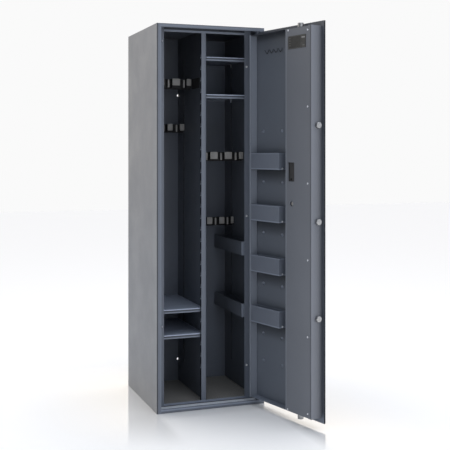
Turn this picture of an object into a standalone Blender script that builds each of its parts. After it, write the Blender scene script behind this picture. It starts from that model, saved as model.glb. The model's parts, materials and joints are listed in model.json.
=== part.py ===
"""Tall gun safe: welded steel cabinet, pivot-hung door with boltwork, shelves, racks and pockets."""
import bpy
import bmesh
import math
from mathutils import Vector, Matrix

# ---------------------------------------------------------------- driving dimensions (mm)
W, D, H = 548.0, 560.0, 1850.0          # outside width, depth, height
T = 4.0                                 # body sheet
G = 0.3                                 # gap between neighbouring pieces
RIM_L, RIM_R = 21.0, 529.0              # inner edges of the front rim
RIM_B, RIM_T = 17.0, 1833.0
RIM_T_SHEET = 3.0                       # rim and jamb sheet
STOP_Y0, STOP_Y1 = 97.0, 100.0          # stop frame
STOP_L, STOP_R, STOP_T = 62.5, 482.0, 1824.5
PIVOT_X, PIVOT_Y = 519.5, 6.0           # door pivot axis
OPEN_DEG = 104.2                        # door angle at rest
PL_X0, PL_X1, PL_T = 22.0, 526.0, 8.0   # door plate
PL_Z0, PL_Z1 = 24.0, 1829.0
BX_X0, BX_X1 = 39.0, 505.4              # door inner box
BX_Z0, BX_Z1, BX_Y1 = 48.0, 1807.0, 67.7
COVER_X1 = 222.0
BOLT_Y, BOLT_R, BOLT_TRAVEL = 31.0, 14.0, 15.0
BOLT_Z = (494.0, 927.0, 1360.0)
VBOLT_X = 159.0
SPIN_X, SPIN_Z = 177.0, 1002.6          # handle spindle
HOOK_X0, HOOK_PITCH = 302.0, 35.0       # key hooks
DIV_X0, DIV_X1 = 274.5, 276.5           # partition sheet
FLANGE_X0 = 251.5
MAT_TOP = 8.3

for ob in list(bpy.data.objects):
    bpy.data.objects.remove(ob, do_unlink=True)

S = 0.001
OX, OY = W / 2.0, D / 2.0               # origin at the centre of the base


def material(name, rgb, metallic, rough):
    m = bpy.data.materials.new(name)
    m.use_nodes = True
    b = m.node_tree.nodes["Principled BSDF"]
    b.inputs["Base Color"].default_value = (rgb[0], rgb[1], rgb[2], 1.0)
    b.inputs["Metallic"].default_value = metallic
    b.inputs["Roughness"].default_value = rough
    return m


PAINT = (0.17, 0.185, 0.21)
DARK = (0.045, 0.05, 0.058)
FOAM = (0.13, 0.125, 0.115)
MATC = (0.075, 0.07, 0.062)
STEEL = (0.55, 0.55, 0.56)
PALETTE = {
    "paint": (PAINT, 0.2, 0.45),
    "inner": (DARK, 0.1, 0.5),
    "foam": (FOAM, 0.0, 0.95),
    "mat": (MATC, 0.0, 0.95),
    "steel": (STEEL, 1.0, 0.35),
    "black": ((0.02, 0.02, 0.022), 0.0, 0.5),
}

pivot = bpy.data.objects.new("door_pivot", None)
bpy.context.scene.collection.objects.link(pivot)
pivot.location = ((PIVOT_X - OX) * S, (PIVOT_Y - OY) * S, 0.0)
pivot.rotation_euler = (0.0, 0.0, math.radians(OPEN_DEG))


def finish(name, bm, kind, door=False, origin=None, smooth=False):
    """Turn a bmesh in cabinet millimetres into a named object."""
    bmesh.ops.recalc_face_normals(bm, faces=bm.faces)
    if origin is None:
        if door:
            origin = (PIVOT_X, PIVOT_Y, 0.0)
        else:
            origin = (OX, OY, 0.0)
    for v in bm.verts:
        v.co = Vector(((v.co.x - origin[0]) * S, (v.co.y - origin[1]) * S, (v.co.z - origin[2]) * S))
    me = bpy.data.meshes.new(name)
    bm.to_mesh(me)
    bm.free()
    ob = bpy.data.objects.new(name, me)
    bpy.context.scene.collection.objects.link(ob)
    rgb, met, rough = PALETTE[kind]
    me.materials.append(material(name, rgb, met, rough))
    if door:
        ob.parent = pivot
        ob.location = ((origin[0] - PIVOT_X) * S, (origin[1] - PIVOT_Y) * S, origin[2] * S)
    else:
        ob.location = ((origin[0] - OX) * S, (origin[1] - OY) * S, origin[2] * S)
    if smooth:
        for p in me.polygons:
            p.use_smooth = True
    return ob


def add_box(bm, x0, x1, y0, y1, z0, z1):
    vs = [bm.verts.new((x, y, z)) for x in (x0, x1) for y in (y0, y1) for z in (z0, z1)]
    quads = [(0, 1, 3, 2), (4, 6, 7, 5), (0, 4, 5, 1), (2, 3, 7, 6), (0, 2, 6, 4), (1, 5, 7, 3)]
    for q in quads:
        bm.faces.new([vs[i] for i in q])


def box(name, x0, x1, y0, y1, z0, z1, kind, **kw):
    bm = bmesh.new()
    add_box(bm, x0, x1, y0, y1, z0, z1)
    return finish(name, bm, kind, **kw)


def add_prism(bm, pts, axis, a0, a1):
    """Extrude a closed outline. axis 'z': pts are (x, y); 'x': pts are (y, z); 'y': pts are (x, z)."""
    def place(p, a):
        if axis == "z":
            return (p[0], p[1], a)
        if axis == "x":
            return (a, p[0], p[1])
        return (p[0], a, p[1])
    lo = [bm.verts.new(place(p, a0)) for p in pts]
    hi = [bm.verts.new(place(p, a1)) for p in pts]
    n = len(pts)
    bm.faces.new(lo)
    bm.faces.new(list(reversed(hi)))
    for i in range(n):
        j = (i + 1) % n
        bm.faces.new([lo[i], lo[j], hi[j], hi[i]])


def prism(name, pts, axis, a0, a1, kind, **kw):
    bm = bmesh.new()
    add_prism(bm, pts, axis, a0, a1)
    return finish(name, bm, kind, **kw)


def ring_pts(cx, cy, r, n=24):
    return [(cx + r * math.cos(2 * math.pi * (i + 0.5) / n), cy + r * math.sin(2 * math.pi * (i + 0.5) / n)) for i in range(n)]


def cyl_mesh(axis, c0, c1, r, a0, a1, n=24):
    bm = bmesh.new()
    add_prism(bm, ring_pts(c0, c1, r, n), axis, a0, a1)
    return bm


def hide_cutter(c):
    c.hide_render = True
    c.display_type = "WIRE"


def boolean(target, tool, op):
    m = target.modifiers.new(op.lower() + "_" + tool.name, "BOOLEAN")
    m.operation = op
    m.solver = "EXACT"
    m.object = tool
    hide_cutter(tool)


def cut_box(target, tag, x0, x1, y0, y1, z0, z1, door=False):
    c = box("cut_" + tag, x0, x1, y0, y1, z0, z1, "black", door=door)
    boolean(target, c, "DIFFERENCE")


def cut_cyl(target, tag, axis, c0, c1, r, a0, a1, door=False, n=24):
    c = finish("cut_" + tag, cyl_mesh(axis, c0, c1, r, a0, a1, n), "black", door=door)
    boolean(target, c, "DIFFERENCE")


def fuse(target, tool):
    boolean(target, tool, "UNION")


# ---------------------------------------------------------------- cabinet shell
box("side_panel_left", 0, T, RIM_T_SHEET + G, D, 0, H, "paint")
box("side_panel_right", W - T, W, RIM_T_SHEET + G, D, 0, H, "paint")
box("top_panel", T + G, W - T - G, RIM_T_SHEET + G, D, H - T, H, "paint")
box("bottom_panel", T + G, W - T - G, RIM_T_SHEET + G, D, 0, T, "paint")
back = box("back_panel", T + G, W - T - G, D - T, D, T + G, H - T - G, "inner")
for k, z in enumerate((120.0, 1544.0)):
    cut_cyl(back, "anchor_%d" % k, "y", W / 2, z, 6.0, D - T - 5, D + 5)

# front rim: a face with a short return; the bolts go behind it
R = RIM_T_SHEET
LIP_Y = 15.5
rim_l = box("rim_left", 0, RIM_L, 0, R, 0, H, "paint")
fuse(rim_l, box("add_return_left", RIM_L - R, RIM_L, R - 1, LIP_Y, RIM_B - R, RIM_T + R, "black"))
rim_r = box("rim_right", RIM_R, W, 0, R, 0, H, "paint")
fuse(rim_r, box("add_return_right", RIM_R, RIM_R + R, R - 1, LIP_Y, RIM_B - R, RIM_T + R, "black"))
rim_t = prism("rim_top", [(0, H), (0, RIM_T), (LIP_Y, RIM_T), (LIP_Y, RIM_T + R), (R, RIM_T + R), (R, H)],
              "x", RIM_L + G, RIM_R - G, "paint")
cut_cyl(rim_t, "pivot_top", "z", PIVOT_X, PIVOT_Y, 4.5, RIM_T - 6, RIM_T + R + 8, n=20)
rim_b = prism("rim_bottom", [(0, 0), (R, 0), (R, RIM_B - R), (LIP_Y, RIM_B - R), (LIP_Y, RIM_B), (0, RIM_B)],
              "x", RIM_L + G, RIM_R - G, "paint")
cut_cyl(rim_b, "pivot_bottom", "z", PIVOT_X, PIVOT_Y, 4.5, RIM_B - R - 6, RIM_B + 6, n=20)

# stop frame at the back of the recess, cut away at the hinge corners
box("stop_stile_left", T + G, STOP_L, STOP_Y0, STOP_Y1, T + G, H - T - G, "paint")
NX, NZ0, NZ1 = 514.0, 76.0, 1776.0
prism("stop_stile_right", [(STOP_R, T + G), (NX, T + G), (NX, NZ0), (W - T - G, NZ0), (W - T - G, NZ1), (NX, NZ1),
                           (NX, H - T - G), (STOP_R, H - T - G)], "y", STOP_Y0, STOP_Y1, "paint")
box("stop_rail_top", STOP_L + G, STOP_R - G, STOP_Y0, STOP_Y1, STOP_T, H - T - G, "paint")
box("stop_rail_bottom", STOP_L + G, STOP_R - G, STOP_Y0, STOP_Y1, T + G, RIM_B, "paint")

# ---------------------------------------------------------------- interior
IY0, IY1 = STOP_Y1 + 1.0, D - T - 1.0
IZ1 = H - T - G
box("floor_mat", T + 1, W - T - 1, IY0, IY1, T + G, MAT_TOP, "mat")
box("divider_panel", DIV_X0, DIV_X1, 119.0, IY1, MAT_TOP + G, IZ1, "inner")
prism("divider_front", [(FLANGE_X0, 101), (DIV_X1, 101), (DIV_X1, 118.7), (DIV_X1 - 2, 118.7), (DIV_X1 - 2, 103),
                        (FLANGE_X0 + 2, 103), (FLANGE_X0 + 2, 118.7), (FLANGE_X0, 118.7)],
      "z", MAT_TOP + G, IZ1, "paint")

RAIL_Z0, RAIL_Z1 = 120.0, 1730.0
for name, x0, x1 in (("rail_left_wall", T + G, T + G + 1.5), ("rail_divider_left", DIV_X0 - G - 1.5, DIV_X0 - G),
                     ("rail_divider_right", DIV_X1 + G, DIV_X1 + G + 1.5), ("rail_right_wall", W - T - G - 1.5, W - T - G)):
    box(name, x0, x1, 444.0, 458.0, RAIL_Z0, RAIL_Z1, "inner")


def shelf(name, x0, x1, zt):
    y0, y1 = 122.0, 553.0
    pts = [(y0, zt), (y0, zt - 20), (y0 + 12, zt - 20), (y0 + 12, zt - 18), (y0 + 2, zt - 18), (y0 + 2, zt - 2),
           (y1 - 2, zt - 2), (y1 - 2, zt - 12), (y1, zt - 12), (y1, zt)]
    prism(name, pts, "x", x0, x1, "paint")


LX0, LX1 = T + 2.3, DIV_X0 - 2.3
RX0, RX1 = DIV_X1 + 2.3, W - T - 2.3
shelf("shelf_left_upper", LX0, LX1, 468.0)
shelf("shelf_left_lower", LX0, LX1, 343.0)
shelf("shelf_right_upper", RX0, RX1, 1713.0)
shelf("shelf_right_lower", RX0, RX1, 1526.5)


def rack(tag, x0, x1, yf, z0, z1, teeth, ridges, depth=34.0):
    """Steel bar with a foam comb in front of it: blocks stand forward, low ridges sit in the notches."""
    ys, yb = yf + depth - 10.0, yf + depth
    strip_z = z0 - 4.5
    foam = box(tag + "_foam", x0, x1, ys, yb, strip_z, z0 + 3.0, "foam")
    for k, (a, b) in enumerate(teeth):
        fuse(foam, box("add_%s_t%d" % (tag, k), a, b, yf, yb - 0.5, z0, z1, "black"))
    for k, (a, b) in enumerate(ridges):
        fuse(foam, box("add_%s_r%d" % (tag, k), a, b, ys - 8.0, yb - 1.0, strip_z + 0.4, z1 - 4.5, "black"))
    bz0, bz1 = z0 - 6.0, z1 - 2.0
    box(tag + "_bar", x0, x1, yb + G, yb + G + 2.5, bz0, bz1, "inner")


rack("rack_left_upper", T + 4, DIV_X0 - 3, 305.0, 1567.0, 1615.0,
     [(8.0, 43.0), (83.0, 127.0), (167.0, 211.0), (243.6, 271.5)], [(58.0, 70.5), (145.0, 157.5), (227.0, 240.0)])
rack("rack_left_lower", T + 4, DIV_X0 - 3, 424.0, 1346.5, 1387.0,
     [(38.0, 69.0), (107.0, 137.5), (176.5, 207.0), (244.5, 271.5)], [(16.0, 28.0), (84.0, 96.0), (153.5, 165.0), (224.0, 236.0)])
rack("rack_right_upper", DIV_X1 + 3, W - T - 4, 256.0, 1198.0, 1240.0,
     [(279.5, 319.5), (355.0, 398.5), (433.6, 477.0), (512.5, 540.0)], [(334.0, 347.0), (413.0, 425.5), (493.5, 507.0)])
rack("rack_right_lower", DIV_X1 + 3, W - T - 4, 400.0, 852.0, 893.0,
     [(318.5, 351.0), (387.0, 419.5), (455.0, 487.7), (522.0, 540.0)], [(297.0, 309.0), (365.0, 377.0), (433.5, 446.0), (501.0, 514.0)])
# side arm that carries the upper left rack on the partition
box("rack_left_upper_arm", DIV_X0 - 2.3, DIV_X0 - G, 187.0, 304.0, 1562.0, 1613.0, "inner")


def tray(name, x0, x1, y0, y1, z0, z1, t, kind, **kw):
    """Open-topped sheet-metal tray."""
    bm = bmesh.new()
    o = [(x0, y0), (x1, y0), (x1, y1), (x0, y1)]
    i = [(x0 + t, y0 + t), (x1 - t, y0 + t), (x1 - t, y1 - t), (x0 + t, y1 - t)]
    ob_ = [bm.verts.new((p[0], p[1], z0)) for p in o]
    ot_ = [bm.verts.new((p[0], p[1], z1)) for p in o]
    ib_ = [bm.verts.new((p[0], p[1], z0 + t)) for p in i]
    it_ = [bm.verts.new((p[0], p[1], z1)) for p in i]
    bm.faces.new(ob_)
    bm.faces.new(list(reversed(ib_)))
    for k in range(4):
        j = (k + 1) % 4
        bm.faces.new([ob_[k], ob_[j], ot_[j], ot_[k]])
        bm.faces.new([ib_[k], ib_[j], it_[j], it_[k]])
        bm.faces.new([ot_[k], ot_[j], it_[j], it_[k]])
    return finish(name, bm, kind, **kw)


tray("wall_pocket_upper", 480.0, W - T - 2.5, 130.0, 545.0, 717.0, 786.0, 1.8, "paint")
tray("wall_pocket_lower", 480.0, W - T - 2.5, 130.0, 545.0, 406.0, 474.0, 1.8, "paint")

# ---------------------------------------------------------------- door
plate = box("door_plate", PL_X0, PL_X1, 0, PL_T, PL_Z0, PL_Z1, "paint", door=True)
cut_cyl(plate, "spindle_plate", "y", SPIN_X, SPIN_Z, 8.5, -5, PL_T + 5, door=True)
YB = PL_T + G
side = prism("door_side_lock", [(BX_X0, YB), (BX_X0 + 2, YB), (BX_X0 + 2, BX_Y1 - 2), (BX_X0 + 22, BX_Y1 - 2),
                                (BX_X0 + 22, BX_Y1), (BX_X0, BX_Y1)], "z", BX_Z0, BX_Z1, "paint", door=True)
for k, z in enumerate(BOLT_Z):
    cut_cyl(side, "guide_%d" % k, "x", BOLT_Y, z, BOLT_R + 0.6, BX_X0 - 5, BX_X0 + 7, door=True)
prism("door_side_hinge", [(BX_X1, YB), (BX_X1, BX_Y1 + 1.8), (BX_X1 - 9.4, BX_Y1 + 1.8), (BX_X1 - 9.4, BX_Y1 - 0.2),
                          (BX_X1 - 2, BX_Y1 - 0.2), (BX_X1 - 2, YB)], "z", BX_Z0, BX_Z1, "paint", door=True)
tx0, tx1 = BX_X0 + 2 + G, BX_X1 - 2 - G
top = prism("door_top_wall", [(YB, BX_Z1), (YB, BX_Z1 - 2), (BX_Y1 - 4.5, BX_Z1 - 2), (BX_Y1 - 2.3, BX_Z1 - 2), (BX_Y1 - 2.3, BX_Z1)],
            "x", tx0, tx1, "paint", door=True)
cut_cyl(top, "guide_top", "z", VBOLT_X, BOLT_Y, BOLT_R + 0.6, BX_Z1 - 8, BX_Z1 + 5, door=True)
bot = box("door_bottom_wall", tx0, tx1, YB, BX_Y1 - 2.3, BX_Z0, BX_Z0 + 2, "paint", door=True)
cut_cyl(bot, "guide_bottom", "z", VBOLT_X, BOLT_Y, BOLT_R + 0.6, BX_Z0 - 5, BX_Z0 + 8, door=True)
pz0, pz1 = BX_Z0 + 2 + G, BX_Z1 - 2 - G
recess = box("recess_panel", COVER_X1 + 1, tx1, 24.8, 26.8, pz0, pz1, "paint", door=True)
hook = [(26.0, 1731.0), (26.0, 1724.0), (36.6, 1709.5), (38.8, 1709.5), (51.4, 1727.0), (49.6, 1728.3), (37.7, 1712.8),
        (28.8, 1725.5), (28.8, 1731.0)]
for k in range(4):                      # key hooks folded out of the panel
    hx = HOOK_X0 + k * HOOK_PITCH
    fuse(recess, prism("add_hook_%d" % k, hook, "x", hx - 2.0, hx + 2.0, "black", door=True))
cover = prism("lock_cover", [(42.5, BX_Y1 + G), (COVER_X1 - 1.5, BX_Y1 + G), (COVER_X1 - 1.5, 24.8), (COVER_X1, 24.8),
                             (COVER_X1, BX_Y1 + 1.8), (42.5, BX_Y1 + 1.8)], "z", pz0, pz1, "paint", door=True)
cut_box(cover, "aperture", 158.0, 200.5, BX_Y1 - 5, BX_Y1 + 8, 1104.6, 1192.0, door=True)
cut_cyl(cover, "spindle_cover", "y", SPIN_X, SPIN_Z, 11.0, BX_Y1 - 5, BX_Y1 + 8, door=True)
box("rating_plate", 74.0, 202.7, BX_Y1 + 1.8 + G, BX_Y1 + 2.9, 1710.0, 1772.0, "black", door=True)
box("lock_case", 150.0, 212.0, 38.0, 65.0, 1090.0, 1205.0, "black", door=True)
DPX0, DPX1 = 273.0, BX_X1 - 9.4 - 0.5
for k, (z0, z1) in enumerate(((415.5, 495.5), (660.5, 741.0), (907.0, 986.0), (1155.5, 1234.5))):
    tray("door_pocket_%d" % (k + 1), DPX0, DPX1, 27.2, 68.0, z0, z1, 1.5, "paint", door=True)

# hinge blocks with pivot pins
for tag, zb0, zb1, zc0, zc1, zp0, zp1 in (("upper", 1779.0, 1829.3, 1829.3, 1831.2, 1831.2, 1843.0),
                                          ("lower", 23.7, 74.0, 21.8, 23.7, 8.3, 21.8)):
    lug = prism("hinge_block_" + tag, [(510.0, PL_T + G), (526.0, PL_T + G), (526.0, 22.0), (510.0, 22.0)], "z",
                min(zb0, zc0 + 1), max(zb1, zc1 - 1), "paint", door=True)
    cap = box("add_cap_" + tag, 510.0, 526.0, 1.0, 22.0, zc0, zc1, "black", door=True)
    fuse(lug, cap)
    pz_a, pz_b = (zp0 - 0.5, zp1) if tag == "upper" else (zp0, zp1 + 0.5)
    pin = finish("add_pin_" + tag, cyl_mesh("z", PIVOT_X, PIVOT_Y, 4.0, pz_a, pz_b, 20), "black", door=True)
    fuse(lug, pin)

# ---------------------------------------------------------------- boltwork (shown retracted)
bolt_org = (60.0, BOLT_Y, 927.0)
carrier = box("bolt_carrier", 70.0, 96.0, BOLT_Y - 3, BOLT_Y + 3, 440.0, 1420.0, "steel", door=True, origin=bolt_org)
for k, z in enumerate(BOLT_Z):
    c = finish("add_lateral_%d" % k, cyl_mesh("x", BOLT_Y, z, BOLT_R, 25.5, 84.0, 28), "steel", door=True)
    fuse(carrier, c)
arm = box("add_carrier_arm", 90.0, 142.0, BOLT_Y - 3, BOLT_Y + 3, 990.0, 1015.0, "black", door=True)
fuse(carrier, arm)
tb = finish("bolt_top", cyl_mesh("z", VBOLT_X, BOLT_Y, BOLT_R, 1755.0, 1832.0, 28), "steel", door=True,
            origin=(VBOLT_X, BOLT_Y, 1700.0))
fuse(tb, box("add_top_rod", VBOLT_X - 6, VBOLT_X + 6, BOLT_Y - 3, BOLT_Y + 3, 1042.0, 1765.0, "black", door=True))
bb = finish("bolt_bottom", cyl_mesh("z", VBOLT_X, BOLT_Y, BOLT_R, 18.2, 98.0, 28), "steel", door=True,
            origin=(VBOLT_X, BOLT_Y, 150.0))
fuse(bb, box("add_bottom_rod", VBOLT_X - 6, VBOLT_X + 6, BOLT_Y - 3, BOLT_Y + 3, 90.0, 963.0, "black", door=True))

# spindle with its drive disc, outside handle, rosette and key escutcheon
spin_org = (SPIN_X, 0.0, SPIN_Z)
spindle = finish("spindle", cyl_mesh("y", SPIN_X, SPIN_Z, 7.5, -22.0, 66.0, 24), "steel", door=True, origin=spin_org)
fuse(spindle, finish("add_disc", cyl_mesh("y", SPIN_X, SPIN_Z, 30.0, 38.0, 44.0, 36), "black", door=True))
ros = finish("handle_rosette", cyl_mesh("y", SPIN_X, SPIN_Z, 29.0, -7.0, -G, 40), "steel", door=True)
cut_cyl(ros, "rosette_bore", "y", SPIN_X, SPIN_Z, 8.2, -12, 5, door=True)
hub = finish("handle", cyl_mesh("y", SPIN_X, SPIN_Z, 15.0, -40.0, -22.4, 32), "steel", door=True, origin=spin_org)
fuse(hub, prism("add_lever", [(-39.0, SPIN_Z - 9), (-39.0, SPIN_Z + 9), (-27.0, SPIN_Z + 9), (-27.0, SPIN_Z - 9)], "x",
                SPIN_X, SPIN_X + 118.0, "black", door=True))
esc = prism("key_escutcheon", [(SPIN_X - 20, 1100.0), (SPIN_X + 20, 1100.0), (SPIN_X + 20, 1190.0), (SPIN_X - 20, 1190.0)], "y",
            -4.0, -G, "steel", door=True)
cut_box(esc, "keyway", SPIN_X - 2.2, SPIN_X + 2.2, -8, -1.5, 1136.0, 1152.0, door=True)
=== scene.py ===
import bpy
import bmesh
import json
import math
import numpy as np
from mathutils import Matrix, Vector

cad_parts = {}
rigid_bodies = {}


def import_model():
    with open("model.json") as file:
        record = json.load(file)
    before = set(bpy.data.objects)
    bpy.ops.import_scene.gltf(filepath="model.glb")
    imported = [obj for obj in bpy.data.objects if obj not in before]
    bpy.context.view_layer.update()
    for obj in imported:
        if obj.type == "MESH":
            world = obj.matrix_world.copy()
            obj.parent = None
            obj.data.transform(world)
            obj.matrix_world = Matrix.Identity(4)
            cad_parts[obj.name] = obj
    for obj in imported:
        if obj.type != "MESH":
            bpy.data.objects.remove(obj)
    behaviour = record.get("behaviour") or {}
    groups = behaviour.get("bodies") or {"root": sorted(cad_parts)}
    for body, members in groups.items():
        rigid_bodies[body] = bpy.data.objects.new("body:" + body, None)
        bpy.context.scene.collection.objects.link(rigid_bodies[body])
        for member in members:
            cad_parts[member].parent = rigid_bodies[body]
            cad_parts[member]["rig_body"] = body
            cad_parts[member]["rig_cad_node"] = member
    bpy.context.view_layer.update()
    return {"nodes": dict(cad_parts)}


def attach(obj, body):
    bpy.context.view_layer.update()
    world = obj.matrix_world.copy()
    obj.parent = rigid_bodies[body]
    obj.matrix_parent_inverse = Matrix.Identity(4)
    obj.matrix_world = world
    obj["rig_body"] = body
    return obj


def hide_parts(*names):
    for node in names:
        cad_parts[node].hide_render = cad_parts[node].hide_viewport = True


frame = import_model()
NODES = frame["nodes"]

# ------------------------------------------------------------------ frame of reference
# Pieces are written in cabinet millimetres (x right, y back, z up, from the front left bottom corner).
# Door pieces are written as if the door were shut, and DOOR turns them to where it stands at rest.
W, D, H = 548.0, 560.0, 1850.0
PIVOT = (519.5, 6.0)
OPEN = math.radians(104.2)
BODY_TO_WORLD = Matrix.Translation((-W / 2000.0, -D / 2000.0, 0.0))
DOOR = (BODY_TO_WORLD @ Matrix.Translation((PIVOT[0] / 1000.0, PIVOT[1] / 1000.0, 0.0)) @ Matrix.Rotation(OPEN, 4, "Z")
        @ Matrix.Translation((-PIVOT[0] / 1000.0, -PIVOT[1] / 1000.0, 0.0)))
DOOR_BODIES = ("door", "lateral_bolts", "top_bolt", "bottom_bolt", "handle")

BX_X0, BX_X1, BX_Z0, BX_Z1, BX_Y1 = 39.0, 505.4, 48.0, 1807.0, 67.7
SPIN_X, SPIN_Z = 177.0, 1002.6


# ------------------------------------------------------------------ materials
class Nodes:
    """Small helper that builds a node tree one node at a time."""

    def __init__(self, name):
        self.mat = bpy.data.materials.new(name)
        self.mat.use_nodes = True
        self.nt = self.mat.node_tree
        self.bsdf = self.nt.nodes["Principled BSDF"]
        self.coord = self.nt.nodes.new("ShaderNodeTexCoord")

    def link(self, a, b):
        self.nt.links.new(a, b)

    def noise(self, scale, detail=2.0, rough=0.5, distortion=0.0, vector=None):
        n = self.nt.nodes.new("ShaderNodeTexNoise")
        n.inputs["Scale"].default_value = scale
        n.inputs["Detail"].default_value = detail
        n.inputs["Roughness"].default_value = rough
        n.inputs["Distortion"].default_value = distortion
        self.link(vector if vector is not None else self.coord.outputs["Object"], n.inputs["Vector"])
        return n.outputs["Fac"]

    def voronoi(self, scale, vector=None):
        n = self.nt.nodes.new("ShaderNodeTexVoronoi")
        n.inputs["Scale"].default_value = scale
        self.link(vector if vector is not None else self.coord.outputs["Object"], n.inputs["Vector"])
        return n.outputs["Distance"]

    def scaled(self, x, y, z):
        n = self.nt.nodes.new("ShaderNodeMapping")
        n.inputs["Scale"].default_value = (x, y, z)
        self.link(self.coord.outputs["Object"], n.inputs["Vector"])
        return n.outputs["Vector"]

    def ranged(self, value, a0, a1, b0, b1, smooth=False):
        n = self.nt.nodes.new("ShaderNodeMapRange")
        if smooth:
            n.interpolation_type = "SMOOTHSTEP"
        n.inputs["From Min"].default_value = a0
        n.inputs["From Max"].default_value = a1
        n.inputs["To Min"].default_value = b0
        n.inputs["To Max"].default_value = b1
        self.link(value, n.inputs["Value"])
        return n.outputs["Result"]

    def math(self, op, a, b=None):
        n = self.nt.nodes.new("ShaderNodeMath")
        n.operation = op
        for k, v in enumerate((a, b)):
            if v is None:
                continue
            if isinstance(v, (int, float)):
                n.inputs[k].default_value = v
            else:
                self.link(v, n.inputs[k])
        return n.outputs[0]

    def mix(self, fac, a, b, blend="MIX"):
        n = self.nt.nodes.new("ShaderNodeMix")
        n.data_type = "RGBA"
        n.blend_type = blend
        if isinstance(fac, (int, float)):
            n.inputs["Factor"].default_value = fac
        else:
            self.link(fac, n.inputs["Factor"])
        for key, v in (("A", a), ("B", b)):
            sock = [s for s in n.inputs if s.name == key and s.type == "RGBA"][0]
            if isinstance(v, tuple):
                sock.default_value = (v[0], v[1], v[2], 1.0)
            else:
                self.link(v, sock)
        return [s for s in n.outputs if s.type == "RGBA"][0]

    def bump(self, height, strength, distance, normal=None):
        n = self.nt.nodes.new("ShaderNodeBump")
        n.inputs["Strength"].default_value = strength
        n.inputs["Distance"].default_value = distance
        self.link(height, n.inputs["Height"])
        if normal is not None:
            self.link(normal, n.inputs["Normal"])
        return n.outputs["Normal"]

    def out(self, color=None, rough=None, normal=None):
        for key, v in (("Base Color", color), ("Roughness", rough), ("Normal", normal)):
            if v is not None:
                self.link(v, self.bsdf.inputs[key])
        return self.mat


def shade(rgb, k):
    return tuple(min(1.0, c * k) for c in rgb)


def painted_light_along(ob, on_door, axis, stops):
    """Soft change of painted light and shade over a piece, along one cabinet or door axis: stops are (millimetres,
    factor) in rising order.
    """
    frame_m = DOOR if on_door else BODY_TO_WORLD
    m = frame_m.inverted() @ ob.matrix_world
    k = "xyz".index(axis)
    row = Vector((m[k][0], m[k][1], m[k][2]))
    off, lo, hi = m[k][3], stops[0][0] / 1000.0, stops[-1][0] / 1000.0

    def build(n):
        dot = n.nt.nodes.new("ShaderNodeVectorMath")
        dot.operation = "DOT_PRODUCT"
        n.link(n.coord.outputs["Object"], dot.inputs[0])
        dot.inputs[1].default_value = row
        t = n.ranged(n.math("ADD", dot.outputs["Value"], off), lo, hi, 0.0, 1.0)
        ramp = n.nt.nodes.new("ShaderNodeValToRGB")
        el = ramp.color_ramp.elements
        el[0].position, el[1].position = 0.0, 1.0
        el[0].color, el[1].color = (stops[0][1],) * 3 + (1.0,), (stops[-1][1],) * 3 + (1.0,)
        for mm, f in stops[1:-1]:
            e = el.new((mm / 1000.0 - lo) / (hi - lo))
            e.color = (f, f, f, 1.0)
        n.link(t, ramp.inputs["Fac"])
        return ramp.outputs["Color"]
    return build


def painted_light_split(ob, axis, at, before, beyond):
    """Two layers of painted light and shade on one piece, meeting at a cabinet position in millimetres."""
    side = painted_light_along(ob, False, axis, [(at - 4.0, 0.0), (at + 4.0, 1.0)])

    def build(n):
        return n.mix(side(n), before(n), beyond(n))
    return build


def powder_coat(name, rgb, rough=0.40, vary=0.05, peel=0.22, spec=0.5, tone=None):
    """Satin powder coat: faint cloudiness, fine speckle, and the orange peel of a baked coat."""
    n = Nodes(name)
    cloud = n.noise(3.2, 3.0, 0.55)
    base = n.mix(n.ranged(cloud, 0.3, 0.7, 0.0, 1.0), shade(rgb, 1.0 - vary * 0.6), shade(rgb, 1.0 + vary * 0.6))
    speck = n.noise(1500.0, 2.0, 0.6)
    base = n.mix(n.ranged(speck, 0.30, 0.62, 0.35, 0.0), base, shade(rgb, 0.72))
    dust = n.ranged(n.noise(46.0, 5.0, 0.7), 0.58, 0.80, 0.0, 0.06)
    base = n.mix(dust, base, shade(rgb, 1.35))
    # the optional layers of painted light and shade are multiplied over the coat
    for light_layer in (tone or ()):
        base = n.mix(1.0, base, light_layer(n), "MULTIPLY")
    r = n.ranged(n.noise(6.0, 4.0, 0.6), 0.3, 0.7, rough - 0.05, rough + 0.06)
    fine = n.bump(n.noise(520.0, 2.0, 0.5), peel, 0.0004)
    normal = n.bump(n.voronoi(190.0), peel * 0.5, 0.0005, fine)
    n.bsdf.inputs["Specular IOR Level"].default_value = spec
    return n.out(base, r, normal)


def needle_felt(name, dark, light, scale=1.0):
    """Matted fibres: short tangled strands in two tones with a soft sheen."""
    n = Nodes(name)
    strand_a = n.noise(900.0 * scale, 3.0, 0.65, 1.4, n.scaled(1.0, 0.22, 1.0))
    strand_b = n.noise(900.0 * scale, 3.0, 0.65, 1.4, n.scaled(0.22, 1.0, 1.0))
    fibre = n.math("MAXIMUM", strand_a, strand_b)
    col = n.mix(n.ranged(fibre, 0.46, 0.72, 0.0, 1.0), dark, light)
    worn = n.ranged(n.noise(5.0, 4.0, 0.6), 0.35, 0.7, 0.0, 0.28)
    col = n.mix(worn, col, shade(dark, 0.75))
    normal = n.bump(fibre, 0.8, 0.0012, n.bump(n.noise(120.0, 3.0, 0.6), 0.5, 0.0015))
    n.bsdf.inputs["Sheen Weight"].default_value = 0.25
    n.bsdf.inputs["Sheen Roughness"].default_value = 0.5
    n.bsdf.inputs["Specular IOR Level"].default_value = 0.15
    return n.out(col, n.ranged(fibre, 0.3, 0.8, 0.99, 0.86), normal)


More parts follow.
